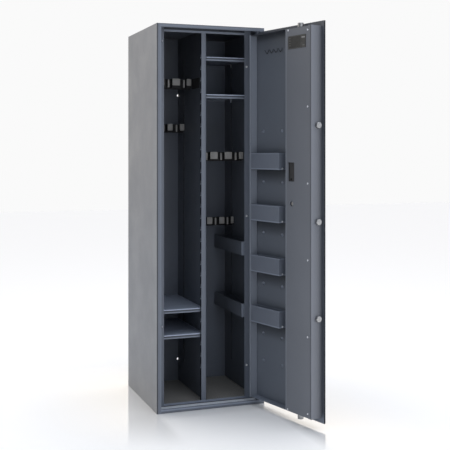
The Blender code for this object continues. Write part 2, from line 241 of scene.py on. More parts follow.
def foam_pad(name, rgb):
    """Closed-cell foam with a napped skin."""
    n = Nodes(name)
    cell = n.voronoi(620.0)
    nap = n.noise(1400.0, 3.0, 0.7, 0.8)
    col = n.mix(n.ranged(cell, 0.05, 0.75, 0.0, 1.0), shade(rgb, 0.72), shade(rgb, 1.08))
    col = n.mix(n.ranged(nap, 0.35, 0.7, 0.0, 0.5), col, shade(rgb, 1.25))
    col = n.mix(n.ranged(n.noise(30.0, 4.0, 0.6), 0.35, 0.7, 0.0, 0.35), col, shade(rgb, 0.70))
    normal = n.bump(nap, 0.6, 0.0007, n.bump(cell, 0.5, 0.0009))
    n.bsdf.inputs["Sheen Weight"].default_value = 0.35
    n.bsdf.inputs["Sheen Roughness"].default_value = 0.45
    n.bsdf.inputs["Specular IOR Level"].default_value = 0.2
    return n.out(col, n.ranged(nap, 0.3, 0.7, 0.98, 0.88), normal)


def turned_steel(name, rgb, rough=0.24, across=True):
    """Bright lathe-turned steel: fine tool rings about the piece's own Z axis, and faint smudges."""
    n = Nodes(name)
    n.bsdf.inputs["Metallic"].default_value = 1.0
    sep = n.nt.nodes.new("ShaderNodeSeparateXYZ")
    n.link(n.coord.outputs["Object"], sep.inputs[0])
    radius = n.math("SQRT", n.math("ADD", n.math("MULTIPLY", sep.outputs[0], sep.outputs[0]),
                                   n.math("MULTIPLY", sep.outputs[1], sep.outputs[1])))
    along = n.math("ADD", n.math("MULTIPLY", radius, 1.0), n.math("MULTIPLY", sep.outputs[2], 1.0))
    rings = n.math("SINE", n.math("MULTIPLY", along, 9000.0))
    grain = n.noise(260.0, 3.0, 0.6, 0.0, n.scaled(1.0, 1.0, 14.0))
    smudge = n.noise(70.0, 4.0, 0.6)
    col = n.mix(n.ranged(smudge, 0.35, 0.7, 0.0, 1.0), shade(rgb, 0.90), shade(rgb, 1.06))
    normal = n.bump(rings, 0.10, 0.0003, n.bump(grain, 0.08, 0.0003))
    return n.out(col, n.ranged(smudge, 0.3, 0.75, rough - 0.05, rough + 0.10), normal)


def cast_steel(name, rgb, rough=0.33, metal=1.0):
    """Satin plated steel for handle and fittings."""
    n = Nodes(name)
    n.bsdf.inputs["Metallic"].default_value = metal
    brush = n.noise(420.0, 3.0, 0.6, 0.0, n.scaled(0.12, 1.0, 1.0))
    cloud = n.noise(24.0, 4.0, 0.6)
    col = n.mix(n.ranged(cloud, 0.35, 0.7, 0.0, 1.0), shade(rgb, 0.92), shade(rgb, 1.05))
    return n.out(col, n.ranged(cloud, 0.3, 0.75, rough - 0.05, rough + 0.10), n.bump(brush, 0.14, 0.0003))


def moulded_black(name, rgb=(0.022, 0.022, 0.023), rough=0.46):
    n = Nodes(name)
    grain = n.voronoi(1300.0)
    col = n.mix(n.ranged(n.noise(60.0, 4.0, 0.6), 0.35, 0.7, 0.0, 1.0), shade(rgb, 0.8), shade(rgb, 1.3))
    return n.out(col, n.ranged(grain, 0.1, 0.8, rough - 0.06, rough + 0.08), n.bump(grain, 0.25, 0.0003))


PAINT_RGB = (0.145, 0.165, 0.205)
M = {
    "cabinet": powder_coat("cabinet_coat", PAINT_RGB),
    "frame": powder_coat("frame_coat", PAINT_RGB, rough=0.38),
    # painted shade: a half-bright copy of the paint
    "margin": powder_coat("plate_inner_shade_coat", shade(PAINT_RGB, 0.50), rough=0.44),
    # painted light: a lighter copy of the door paint for returns, the door's bottom wall and the pressed seats
    "door_lit": powder_coat("door_return_coat", shade(PAINT_RGB, 1.30), rough=0.42),
    # painted shade: a slightly darker copy of the paint for the inside of the cabinet
    "inside": powder_coat("inside_shade_coat", shade(PAINT_RGB, 0.92), rough=0.46, vary=0.08),
    # painted shade: a dark copy of the paint for fittings deep inside the cabinet
    "inner": powder_coat("inner_shade_coat", (0.050, 0.055, 0.064), rough=0.46, vary=0.08),
    # painted shade: near-black copy of the paint for the door's lock edge and the partition return's left face
    "edge": powder_coat("plate_edge_shade_coat", shade(PAINT_RGB, 0.12), rough=0.6, spec=0.15),
    # painted light and shade on the shelves: a bright copy for the lip's top bead, a dark one for its groove, a bright
    # one for top faces
    "bead_lit": powder_coat("shelf_bead_lit_coat", shade(PAINT_RGB, 3.1), rough=0.30),
    "groove_shade": powder_coat("shelf_groove_shade_coat", shade(PAINT_RGB, 0.55), rough=0.45),
    "shelf_top_lit": powder_coat("shelf_top_lit_coat", shade(PAINT_RGB, 2.7), rough=0.34),
    "hook": moulded_black("hook_black", (0.034, 0.038, 0.046), 0.5),
    "hole": moulded_black("hole_black", (0.004, 0.004, 0.004), 0.8),
    # painted light: the shelves and slot lips take a lighter copy of the paint
    "shelf": powder_coat("shelf_lit_coat", shade(PAINT_RGB, 1.55), rough=0.34),
    "door": powder_coat("door_coat", PAINT_RGB, rough=0.40),
    # painted shade: a slightly darker copy of the paint for the door recess
    "recess": powder_coat("recess_shade_coat", shade(PAINT_RGB, 0.94), rough=0.44),
    "foam": foam_pad("pad_foam", (0.330, 0.325, 0.315)),
    # near-black carrier colour, partly the carrier's dark finish and partly painted shade in the gaps between pads
    "carrier_dark_shade": moulded_black("strip_black_shade", (0.007, 0.007, 0.008), 0.7),
    "mat": needle_felt("mat_felt", (0.150, 0.146, 0.138), (0.310, 0.300, 0.282)),
    "steel": turned_steel("bolt_turned", (0.44, 0.44, 0.44), 0.34),
    "bar": cast_steel("bar_steel", (0.46, 0.46, 0.46), 0.38),
    "satin": cast_steel("handle_satin", (0.62, 0.62, 0.62), 0.28),
    "zinc": cast_steel("screw_zinc", (0.78, 0.80, 0.84), 0.28, 0.6),
    # painted light and shade: a brighter and a duller copy of the screw zinc
    "zinc_pale": cast_steel("screw_zinc_pale_lit", (0.93, 0.93, 0.94), 0.42, 0.15),
    "zinc_dull": cast_steel("screw_zinc_dull_shade", (0.36, 0.38, 0.42), 0.42, 0.7),
    "black": moulded_black("trim_black"),
    "label_dark": moulded_black("label_field", (0.022, 0.022, 0.021), 0.50),
    "label_mid": moulded_black("label_column", (0.040, 0.040, 0.038), 0.50),
    "label_line": moulded_black("label_line", (0.085, 0.085, 0.082), 0.50),
    "label_light": moulded_black("label_blank", (0.20, 0.20, 0.20), 0.50),
}

# ------------------------------------------------------------------ mesh helpers
PIECES = []


def new_object(name, verts, faces, body, mats, origin=(0.0, 0.0, 0.0), turn=None, smooth=True,
               face_mats=None, replaces=()):
    """verts are millimetres in the cabinet frame (shut door for door pieces), or about origin when turn is given."""
    me = bpy.data.meshes.new(name)
    v = np.array(verts, float)
    if turn is None:
        v = v - np.array(origin)
    me.from_pydata([tuple(p) for p in v * 0.001], [], [tuple(f) for f in faces])
    me.update()
    bm = bmesh.new()
    bm.from_mesh(me)
    bmesh.ops.recalc_face_normals(bm, faces=bm.faces)
    bm.to_mesh(me)
    bm.free()
    ob = bpy.data.objects.new(name, me)
    bpy.context.scene.collection.objects.link(ob)
    base = DOOR if body in DOOR_BODIES else BODY_TO_WORLD
    m = base @ Matrix.Translation(Vector(origin) * 0.001)
    if turn is not None:
        m = m @ turn
    ob.matrix_world = m
    for mt in (mats if isinstance(mats, (list, tuple)) else [mats]):
        me.materials.append(M[mt])
    if face_mats is not None:
        me.polygons.foreach_set("material_index", face_mats)
    if smooth:
        for p in me.polygons:
            p.use_smooth = True
    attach(ob, body)
    if replaces:
        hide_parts(*replaces)
    PIECES.append(ob)
    return ob


def sharpen(ob, angle=35.0):
    """Smooth shading with crisp creases, kept in the mesh itself."""
    me = ob.data
    bm = bmesh.new()
    bm.from_mesh(me)
    lim = math.radians(angle)
    for e in bm.edges:
        if len(e.link_faces) == 2 and e.calc_face_angle(0.0) > lim:
            e.smooth = False
    bm.to_mesh(me)
    bm.free()


def bevel(ob, width_mm, segments=2, angle=35.0):
    m = ob.modifiers.new("edge_round", "BEVEL")
    m.width = width_mm * 0.001
    m.segments = segments
    m.limit_method = "ANGLE"
    m.angle_limit = math.radians(angle)
    m.use_clamp_overlap = True
    return m


class Build:
    """Collects several closed shells into one mesh."""

    def __init__(self):
        self.v, self.f, self.m = [], [], []

    def add(self, verts, faces, mat=0):
        k = len(self.v)
        self.v.extend([tuple(p) for p in verts])
        self.f.extend([tuple(i + k for i in f) for f in faces])
        self.m.extend([mat] * len(faces))


def rounded_box(x0, x1, y0, y1, z0, z1, r, seg=3, crown=0.0, grid=5):
    """Closed box with rounded edges; crown lifts the middle of each face a little, as foam does."""
    lo, hi = np.array((x0, y0, z0), float), np.array((x1, y1, z1), float)
    r = min(r, float((hi - lo).min()) * 0.499)

    def stations(a, b):
        ang = np.linspace(0, math.pi / 4, seg + 1)
        edge = r * np.tan(ang)[::-1]
        left = a + r - edge
        mid = np.linspace(a + r, b - r, grid + 1)[1:-1] if grid > 1 else np.array([])
        return np.concatenate([left, mid, (a + b - left)[::-1]])
    S = [stations(lo[k], hi[k]) for k in range(3)]
    index, verts, faces = {}, [], []

    def vert(p):
        key = tuple(np.round(p, 5))
        if key not in index:
            inner = np.clip(p, lo + r, hi - r)
            d = p - inner
            n = np.linalg.norm(d)
            q = inner + d / n * r if n > 1e-9 else p
            if crown:
                u = np.abs((p - (lo + hi) / 2) / ((hi - lo) / 2))
                w = np.prod(1 - np.sort(u)[:2] ** 2)
                q = q + (d / n if n > 1e-9 else 0) * crown * w
            index[key] = len(verts)
            verts.append(tuple(q))
        return index[key]
    for ax in range(3):
        a, b = (ax + 1) % 3, (ax + 2) % 3
        for side, val in ((0, lo[ax]), (1, hi[ax])):
            for i in range(len(S[a]) - 1):
                for j in range(len(S[b]) - 1):
                    quad = []
                    for (ii, jj) in ((i, j), (i + 1, j), (i + 1, j + 1), (i, j + 1)):
                        p = np.zeros(3)
                        p[ax], p[a], p[b] = val, S[a][ii], S[b][jj]
                        quad.append(vert(p))
                    faces.append(quad if side else quad[::-1])
    return verts, faces


def fillet(pts, r, seg=5):
    """Open polyline with its inner corners replaced by arcs."""
    out = [np.array(pts[0], float)]
    for i in range(1, len(pts) - 1):
        p0, p, p1 = (np.array(pts[k], float) for k in (i - 1, i, i + 1))
        a, b = (p0 - p), (p1 - p)
        la, lb = np.linalg.norm(a), np.linalg.norm(b)
        a, b = a / la, b / lb
        ang = math.acos(max(-1.0, min(1.0, float(a @ b))))
        if ang > math.radians(178):
            out.append(p)
            continue
        rr = r[i] if isinstance(r, (list, tuple)) else r
        t = min(rr / math.tan(ang / 2), la * 0.49, lb * 0.49)
        rr = t * math.tan(ang / 2)
        bis = (a + b) / np.linalg.norm(a + b)
        c = p + bis * (rr / math.sin(ang / 2))
        s, e = p + a * t, p + b * t
        va, vb = s - c, e - c
        tot = math.acos(max(-1.0, min(1.0, float(va @ vb) / (np.linalg.norm(va) * np.linalg.norm(vb)))))
        sgn = 1.0 if va[0] * vb[1] - va[1] * vb[0] > 0 else -1.0
        for k in range(seg + 1):
            th = sgn * tot * k / seg
            out.append(c + np.array((va[0] * math.cos(th) - va[1] * math.sin(th), va[0] * math.sin(th) + va[1] * math.cos(th))))
    out.append(np.array(pts[-1], float))
    return out


def folded_sheet(line, t, axis, a0, a1, r=2.0, seg=4, cuts=1):
    """Sheet metal of thickness t folded along a centre line and run along an axis: (verts, faces)."""
    pts = fillet(line, r, seg)
    n = len(pts)
    nor = []
    for i in range(n):
        d = pts[min(i + 1, n - 1)] - pts[max(i - 1, 0)]
        d = d / np.linalg.norm(d)
        nor.append(np.array((-d[1], d[0])))
    L = [p + q * t / 2 for p, q in zip(pts, nor)]
    Rr = [p - q * t / 2 for p, q in zip(pts, nor)]

    def place(p, a):
        if axis == "x":
            return (a, p[0], p[1])
        if axis == "y":
            return (p[0], a, p[1])
        return (p[0], p[1], a)
    verts, faces = [], []
    levels = np.linspace(a0, a1, cuts + 1)
    for a in levels:
        verts.extend(place(p, a) for p in L)
        verts.extend(place(p, a) for p in Rr)
    for k in range(cuts):
        b0, b1 = k * 2 * n, (k + 1) * 2 * n
        for i in range(n - 1):
            faces.append((b0 + i, b0 + i + 1, b1 + i + 1, b1 + i))
            faces.append((b0 + n + i, b1 + n + i, b1 + n + i + 1, b0 + n + i + 1))
        faces.append((b0, b1, b1 + n, b0 + n))
        faces.append((b0 + n - 1, b0 + 2 * n - 1, b1 + 2 * n - 1, b1 + n - 1))
    for base in (0, cuts * 2 * n):
        for i in range(n - 1):
            faces.append((base + i, base + n + i, base + n + i + 1, base + i + 1))
    return verts, faces


def lathe(profile, n=48):
    """Closed turned solid about local Z. profile: (radius, height) from the axis at one end to the axis at the other."""
    verts, faces, rings = [], [], []
    for r, h in profile:
        if r < 1e-6:
            rings.append([len(verts)])
            verts.append((0.0, 0.0, h))
        else:
            k = len(verts)
            verts.extend((r * math.cos(2 * math.pi * i / n), r * math.sin(2 * math.pi * i / n), h) for i in range(n))
            rings.append(list(range(k, k + n)))
    for a, b in zip(rings, rings[1:]):
        if len(a) == 1 and len(b) == 1:
            continue
        for i in range(n):
            j = (i + 1) % n
            if len(a) == 1:
                faces.append((a[0], b[j], b[i]))
            elif len(b) == 1:
                faces.append((a[i], a[j], b[0]))
            else:
                faces.append((a[i], a[j], b[j], b[i]))
    return verts, faces


def arc(cr, ch, r, a0, a1, k=5):
    return [(cr + r * math.cos(math.radians(a0 + (a1 - a0) * i / k)), ch + r * math.sin(math.radians(a0 + (a1 - a0) * i / k)))
            for i in range(k + 1)]


TO_MINUS_X = Matrix.Rotation(-math.pi / 2, 4, "Y")      # local +Z points to -X
TO_PLUS_X = Matrix.Rotation(math.pi / 2, 4, "Y")
TO_PLUS_Y = Matrix.Rotation(-math.pi / 2, 4, "X")       # local +Z points to +Y
TO_MINUS_Y = Matrix.Rotation(math.pi / 2, 4, "X")
TO_MINUS_Z = Matrix.Rotation(math.pi, 4, "X")
UP = Matrix.Identity(4)


def pan_screw(radius, height, n=28):
    """Pan head with a six-sided socket, local +Z outwards, seated at z 0."""
    k = radius
    prof = [(0.0, -0.6), (k * 0.96, -0.6), (k, 0.0), (k, height * 0.30)]
    prof += arc(k - height * 0.62, height * 0.30, height * 0.62, 0, 78, 5)[1:]
    prof += [(k * 0.46, height * 0.985), (k * 0.42, height * 0.90), (k * 0.40, height * 0.25), (0.0, height * 0.20)]
    v, f = lathe(prof, n)
    out = []
    for x, y, z in v:
        rr = math.hypot(x, y)
        if 0 < rr < k * 0.43:
            a = math.atan2(y, x)
            w = 1.0 - 0.10 * math.cos(6 * a)
            x, y = x * w, y * w
        out.append((x, y, z))
    return out, f


def placed(verts, turn, origin):
    return [tuple(turn @ Vector(p) + Vector(origin)) for p in verts]


def screw_set(name, body, spots, radius=5.0, height=2.6, mat="zinc"):
    """spots: (x, y, z, direction matrix, spin in degrees)."""
    b = Build()
    for x, y, z, turn, spin in spots:
        v, f = pan_screw(radius, height)
        b.add(placed(v, turn @ Matrix.Rotation(math.radians(spin), 4, "Z"), (x, y, z)), f)
    ob = new_object(name, b.v, b.f, body, mat)
    sharpen(ob, 40)
    return ob


def finish_cad(names, mat, width=0.7, segments=2):
    for n in names:
        o = NODES[n]
        if not o.data.materials:
            o.data.materials.append(M[mat])
        for k in range(len(o.data.materials)):
            o.data.materials[k] = M[mat]
        if width:
            bevel(o, width, segments)


def weighted_bevel(o, chosen, width, rest, segments):
    """Rounds the chosen edges to width and every other sharp edge to rest, by edge weight."""
    me = o.data
    bm = bmesh.new()
    bm.from_mesh(me)
    lay = bm.edges.layers.float.get("bevel_weight_edge") or bm.edges.layers.float.new("bevel_weight_edge")
    for e in bm.edges:
        a, b = (o.matrix_world @ v.co for v in e.verts)
        if len(e.link_faces) == 2 and e.calc_face_angle(0.0) > 0.6:
            e[lay] = 1.0 if chosen(a, b) else rest / width
    bm.to_mesh(me)
    bm.free()
    m = o.modifiers.new("edge_round", "BEVEL")
    m.width = width * 0.001
    m.segments = segments
    m.limit_method = "WEIGHT"
    m.use_clamp_overlap = True


def cut(ob, verts, faces, name):
    """A cutter object made from the given verts and faces; ob is not used."""
    me = bpy.data.meshes.new(name)
    me.from_pydata([tuple(np.array(p) * 0.001) for p in verts], [], faces)
    me.update()
    bm = bmesh.new()
    bm.from_mesh(me)
    bmesh.ops.recalc_face_normals(bm, faces=bm.faces)
    bm.to_mesh(me)
    bm.free()
    c = bpy.data.objects.new(name, me)
    bpy.context.scene.collection.objects.link(c)
    return c


def solid_difference(ob, cutter):
    """Applies an exact difference to one of this script's own pieces and removes the cutter."""
    m = ob.modifiers.new("cut", "BOOLEAN")
    m.operation = "DIFFERENCE"
    m.solver = "EXACT"
    m.object = cutter
    dg = bpy.context.evaluated_depsgraph_get()
    dg.update()
    me = bpy.data.meshes.new_from_object(ob.evaluated_get(dg))
    old = ob.data
    ob.modifiers.remove(m)
    ob.data = me
    bpy.data.meshes.remove(old)
    bpy.data.objects.remove(cutter)
    return ob


def slotted_plate(x0, x1, y0, y1, z0, z1, slots, thin):
    """A flat strip with a column of round-ended slots right through it. thin is the axis of its thickness ('x' or 'y')."""
    (u0, u1), (t0, t1) = ((y0, y1), (x0, x1)) if thin == "x" else ((x0, x1), (y0, y1))
    verts, faces = [], []

    def put(u, z, t):
        verts.append((t, u, z) if thin == "x" else (u, t, z))
        return len(verts) - 1
    edges = [z0] + [0.5 * (slots[i][1] + slots[i + 1][0]) for i in range(len(slots) - 1)] + [z1]
    uc = 0.5 * (u0 + u1)
    for (s0, s1, w), a, b in zip(slots, edges, edges[1:]):
        r = w / 2
        hole = [(uc + r * math.cos(t), s1 - r + r * math.sin(t)) for t in np.linspace(0, math.pi, 9)]
        hole += [(uc + r * math.cos(t), s0 + r + r * math.sin(t)) for t in np.linspace(math.pi, 2 * math.pi, 9)]
        frame_pts = []
        for (u, z) in hole:
            if z > (s0 + s1) / 2:
                k = (u - (uc - r)) / (2 * r)
                frame_pts.append((u0 + (u1 - u0) * k, b))
            else:
                k = (u - (uc - r)) / (2 * r)
                frame_pts.append((u0 + (u1 - u0) * k, a))
        n = len(hole)
        H0 = [put(u, z, t0) for u, z in hole]
        H1 = [put(u, z, t1) for u, z in hole]
        F0 = [put(u, z, t0) for u, z in frame_pts]
        F1 = [put(u, z, t1) for u, z in frame_pts]
        for i in range(n):
            j = (i + 1) % n
            faces.append((H0[i], H0[j], F0[j], F0[i]))
            faces.append((H1[i], F1[i], F1[j], H1[j]))
            faces.append((H0[i], H1[i], H1[j], H0[j]))
            if abs(frame_pts[i][1] - frame_pts[j][1]) > 1e-6:
                faces.append((F0[i], F0[j], F1[j], F1[i]))
    k = len(verts)
    for z, flip in ((z0, False), (z1, True)):
        q = [put(u0, z, t0), put(u1, z, t0), put(u1, z, t1), put(u0, z, t1)]
        faces.append(q if flip else q[::-1])
    return verts, faces


def weld(ob, dist=0.00002):
    bm = bmesh.new()
    bm.from_mesh(ob.data)
    bmesh.ops.remove_doubles(bm, verts=bm.verts, dist=dist)
    bmesh.ops.recalc_face_normals(bm, faces=bm.faces)
    bm.to_mesh(ob.data)
    bm.free()


# ------------------------------------------------------------------ cabinet: the frame's own nodes
def coat_painted_light(name, key, rgb, stops, axis, on_door=False, rough=0.40, width=0.7, segments=2, also=()):
    """Gives a frame node its own coat with painted light and shade that changes along the piece; also holds further
    (axis, stops) pairs.
    """
    light_layers = [painted_light_along(NODES[name], on_door, a, q) for a, q in ((axis, stops),) + tuple(also)]
    M[key] = powder_coat(key + "_coat", rgb, rough=rough, tone=light_layers)
    finish_cad([name], key, width, segments)


# painted dark line along the top panel's lower front edge
coat_painted_light("top_panel", "top_panel", PAINT_RGB, [(1845.5, 0.50), (1847.4, 0.55), (1848.6, 1.0), (1850.0, 1.0)], "z", width=0.9, segments=3)
# painted highlight along the left side panel's front edge
coat_painted_light("side_panel_left", "side_panel_left", (0.150, 0.161, 0.184), [(0.0, 1.16), (10.0, 1.14), (60.0, 1.02), (560.0, 1.0)], "y",
      width=0.9, segments=3)
# painted shade on the right side panel's inner face
coat_painted_light("side_panel_right", "side_panel_right", PAINT_RGB, [(543.0, 0.62), (544.4, 0.62), (545.6, 1.0), (548.0, 1.0)], "x", width=0.9, segments=3)
finish_cad(["rim_right"], "frame", 0.9, 3)
# painted highlight across the top rim's face, painted shade along its upper edge
coat_painted_light("rim_top", "rim_top", PAINT_RGB, [(1830.0, 0.9), (1837.0, 0.95), (1839.0, 1.12), (1845.5, 1.08), (1847.5, 0.62), (1850.0, 0.55)], "z",
      width=0.9, segments=3)
# painted shade low on the bottom rim's face, painted highlight along its top
coat_painted_light("rim_bottom", "rim_bottom", PAINT_RGB, [(0.0, 0.50), (2.0, 0.62), (4.0, 0.78), (9.0, 0.82), (11.0, 1.4), (14.0, 1.8)], "z", width=0.9, segments=3)
# painted dark line at the left rim's outer corner, painted highlight along its inner edge
coat_painted_light("rim_left", "rim_left", PAINT_RGB, [(0.0, 0.22), (4.2, 0.24), (6.2, 0.92), (17.0, 1.0), (19.0, 1.22), (21.0, 1.22)], "x", width=0.0)
weighted_bevel(NODES["rim_left"], lambda a, b: abs(a.x + W / 2000) < 2e-4 and abs(a.y + D / 2000) < 2e-4 and
               abs(b.x + W / 2000) < 2e-4 and abs(b.y + D / 2000) < 2e-4, 2.2, 0.45, 4)
finish_cad(["stop_stile_left"], "frame", 0.8, 2)
# painted highlight on the floor strip behind the bottom rim, painted shade on the floor further in
coat_painted_light("bottom_panel", "bottom_panel", (0.158, 0.166, 0.178), [(0.0, 1.0), (14.0, 1.2), (20.0, 5.5), (90.0, 5.6), (96.0, 0.7), (120.0, 0.7)], "y",
      width=0.9, segments=3)
# painted highlight on the top rail's lower part, painted shadow on its upper part under the rim
coat_painted_light("stop_rail_top", "stop_rail_top", PAINT_RGB, [(1824.5, 1.55), (1833.8, 1.60), (1835.6, 0.30), (1846.0, 0.24)], "z", width=0.8)
# painted shadow at the bottom rail's foot, painted highlight above it
coat_painted_light("stop_rail_bottom", "stop_rail_bottom", PAINT_RGB, [(4.0, 0.25), (6.0, 0.30), (7.5, 1.35), (17.0, 1.5)], "z", width=0.8)
# painted light: the right stile takes the lighter copy of the paint
finish_cad(["stop_stile_right"], "door_lit", 0.8, 2)
finish_cad(["back_panel"], "cabinet", 0.5, 2)
back = NODES["back_panel"]
# painted light and shade on the back wall's inner face: darker towards the top on the left, lighter at the foot and the
# top on the right
left_light_shade = painted_light_along(back, False, "z", [(0.0, 1.0), (400.0, 1.10), (620.0, 1.13), (950.0, 0.90), (1300.0, 0.88), (1500.0, 0.80), (1680.0, 0.70),
                                        (1790.0, 0.62), (1846.0, 0.60)])
right_light_shade = painted_light_along(back, False, "z", [(0.0, 1.50), (250.0, 1.45), (400.0, 1.14), (700.0, 1.12), (980.0, 0.95), (1380.0, 0.94), (1500.0, 1.20),
                                         (1640.0, 1.72), (1720.0, 1.90), (1800.0, 2.20), (1846.0, 2.20)])
M["back_inner"] = powder_coat("back_inner_coat", shade(PAINT_RGB, 0.92), rough=0.46, tone=[painted_light_split(back, "x", 290.0, left_light_shade, right_light_shade)])
back.data.materials.append(M["back_inner"])
for poly in back.data.polygons:
    if (back.matrix_world.to_3x3() @ poly.normal).normalized().y < -0.9:
        poly.material_index = len(back.data.materials) - 1
# painted shade on the partition, deepening towards the top
coat_painted_light("divider_panel", "divider_panel", shade(PAINT_RGB, 0.92), [(0.0, 0.85), (900.0, 0.95), (1400.0, 0.80), (1650.0, 0.45), (1846.0, 0.35)],
      "z", rough=0.46, width=0.5)
# the rack bars take the near-black carrier colour, partly painted shade
finish_cad(["rack_left_upper_bar", "rack_left_lower_bar", "rack_right_upper_bar", "rack_right_lower_bar", "rack_left_upper_arm"],
           "carrier_dark_shade", 0.5, 2)
# painted highlight along each wall pocket's front edge, on a darker copy of the paint as painted shade
for n in ("wall_pocket_upper", "wall_pocket_lower"):
    coat_painted_light(n, n, shade(PAINT_RGB, 0.78), [(130.0, 2.3), (136.0, 2.2), (140.0, 1.0), (545.0, 0.9)], "y", width=0.6)
finish_cad(["door_plate"], "door", 1.0, 3)
plate = NODES["door_plate"]
# painted shade on the plate's inner face, with a painted reflection of the floor lightening its lowest part
M["margin_low"] = powder_coat("plate_margin_shade_coat", shade(PAINT_RGB, 0.50), rough=0.44,
                              tone=[painted_light_along(plate, True, "z", [(24.0, 2.7), (44.0, 2.4), (75.0, 1.0), (1829.0, 1.0)])])
plate.data.materials.append(M["margin_low"])
plate.data.materials.append(M["edge"])
inward = Vector((-math.sin(OPEN), math.cos(OPEN), 0.0))
toward_lock = Vector((-math.cos(OPEN), -math.sin(OPEN), 0.0))
# painted shade: faces turned inward take the dark margin coat, faces towards the lock the near-black edge coat
for poly in plate.data.polygons:
    if (plate.matrix_world.to_3x3() @ poly.normal).normalized().dot(inward) > 0.9:
        poly.material_index = len(plate.data.materials) - 2
    if (plate.matrix_world.to_3x3() @ poly.normal).normalized().dot(toward_lock) > 0.9:
        poly.material_index = len(plate.data.materials) - 1
# painted shade on the lock-side wall next to the plate, painted highlight at its outer corner
coat_painted_light("door_side_lock", "door_side_lock", (0.155, 0.165, 0.190), [(0.0, 0.60), (12.0, 0.70), (26.0, 0.86), (42.0, 1.0), (58.0, 1.14), (68.0, 1.22)], "y",
      True)
M["shade"] = powder_coat("door_shade_coat", shade(PAINT_RGB, 0.30), rough=0.5, spec=0.25)
finish_cad(["door_top_wall"], "shade", 0.7, 2)
# painted light: the door's bottom wall takes the lighter copy of the paint
finish_cad(["door_bottom_wall"], "door_lit", 0.7, 2)
# painted light: a lighter copy of the paint for the door's hinge-side wall
M["hinge_wall_lit"] = powder_coat("hinge_wall_lit_coat", (0.212, 0.236, 0.280), rough=0.42)
finish_cad(["door_side_hinge"], "hinge_wall_lit", 0.7, 2)
# painted shade darkening the cover towards the top, a painted dark line along its lock-side edge and a painted
# highlight along its hinge-side edge
coat_painted_light("lock_cover", "lock_cover", (0.146, 0.160, 0.188), [(20.0, 1.0), (600.0, 0.97), (1100.0, 0.89), (1800.0, 0.80)], "z", True, 0.40, 0.8, 3,
      also=(("x", [(39.0, 0.62), (44.0, 0.66), (47.5, 1.0), (213.0, 1.0), (216.0, 1.30), (222.0, 1.35)]),))
POCKET_Z = [(415.5, 495.5), (660.5, 741.0), (907.0, 986.0), (1155.5, 1234.5)]
# painted shadows under each pocket, and painted shade deepening up the panel and under its top wall
RECESS_SHADE = [(20.0, 0.98)]
for z0, z1 in POCKET_Z:
    f = 0.98 - 0.26 * z0 / 1800.0
    RECESS_SHADE += [(z0 - 72.0, f), (z0 - 44.0, 0.66 * f), (z0 - 22.0, 0.43 * f), (z0 - 6.0, 0.28 * f), (z0 + 6.0, 0.26 * f), (z0 + 12.0, f)]
RECESS_SHADE += [(1700.0, 0.74), (1770.0, 0.66), (1790.0, 0.36), (1806.0, 0.30)]
coat_painted_light("recess_panel", "recess_panel", (0.136, 0.156, 0.190), RECESS_SHADE, "z", True, 0.44, 0.0)
# painted highlights on each pocket's bottom and top lips, with a painted dark line at its very foot
for k in range(4):
    n = "door_pocket_%d" % (k + 1)
    z = [(NODES[n].matrix_world @ v.co).z * 1000.0 for v in NODES[n].data.vertices]
    z0, z1 = min(z), max(z)
    coat_painted_light(n, n, PAINT_RGB, [(z0, 0.7), (z0 + 1.5, 1.55), (z0 + 5.0, 1.5), (z0 + 7.0, 0.97), (z1 - 6.0, 0.95), (z1 - 4.0, 1.20), (z1, 1.25)],
          "z", True, 0.40, 0.6)
# painted shade: the hinge blocks are coloured dark for the shade they sit in
finish_cad(["hinge_block_upper", "hinge_block_lower"], "margin", 0.7, 2)
finish_cad(["lock_case"], "black", 1.2, 3)
finish_cad(["key_escutcheon"], "satin", 1.2, 3)
finish_cad(["spindle"], "bar", 0.6, 2)

# ------------------------------------------------------------------ partition front with its column of hook slots
PITCH = 56.6
SLOT_Z = [1430.0 - PITCH * k for k in range(-6, 24)]
SLOT_Z = sorted(z for z in SLOT_Z if 130.0 < z < 1735.0)


def partition_front():
    z0, z1 = 8.6, 1845.7
    line = [(279.4, 118.7), (279.4, 102.0), (256.0, 102.0), (256.0, 118.7)]
    v, f = folded_sheet(line, 2.0, "z", z0, z1, 2.2, 5, 1)
    ob = new_object("partition_front", v, f, "cabinet", "frame", replaces=("divider_front",), smooth=True)
    b = Build()
    for z in SLOT_Z:
        v, f = rounded_box(253.0, 258.5, 104.6, 112.4, z - 7.0, z + 7.0, 2.6, 3, 0.0, 1)
        b.add(v, f)
    c = cut(ob, b.v, b.f, "slot_cutter")
    c.matrix_world = BODY_TO_WORLD
    solid_difference(ob, c)
    sharpen(ob, 40)
    ob.data.materials.append(M["edge"])
    # painted shade: the return's left face is coloured near-black
    for poly in ob.data.polygons:
        if poly.normal.x < -0.9 and poly.center.x * 1000.0 < 256.5:
            poly.material_index = 1
    # a short lip is turned out under every slot, in the lighter shelf coat as a painted highlight
    b = Build()
    for z in SLOT_Z:
        v, f = rounded_box(252.8, 256.1, 103.6, 112.0, z - 12.0, z - 7.2, 1.2, 2, 0.0, 1)
        b.add(v, f)
    lips = new_object("partition_slot_lips", b.v, b.f, "cabinet", "shelf")
    sharpen(lips, 50)
    return ob


partition_front()

for name, x0, x1 in (("rail_left_wall", 4.3, 5.8), ("rail_divider_left", 272.7, 274.2), ("rail_divider_right", 276.8, 278.3),
                     ("rail_right_wall", 542.2, 543.7)):
    v, f = slotted_plate(x0, x1, 444.0, 458.0, 120.0, 1730.0, [(z - 8.0, z + 8.0, 4.4) for z in SLOT_Z], "x")
    # the slotted rails take the dark copy of the paint as painted shade
    rail = new_object(name.replace("rail", "slotted_rail"), v, f, "cabinet", "inner", replaces=(name,), smooth=False)
    weld(rail)


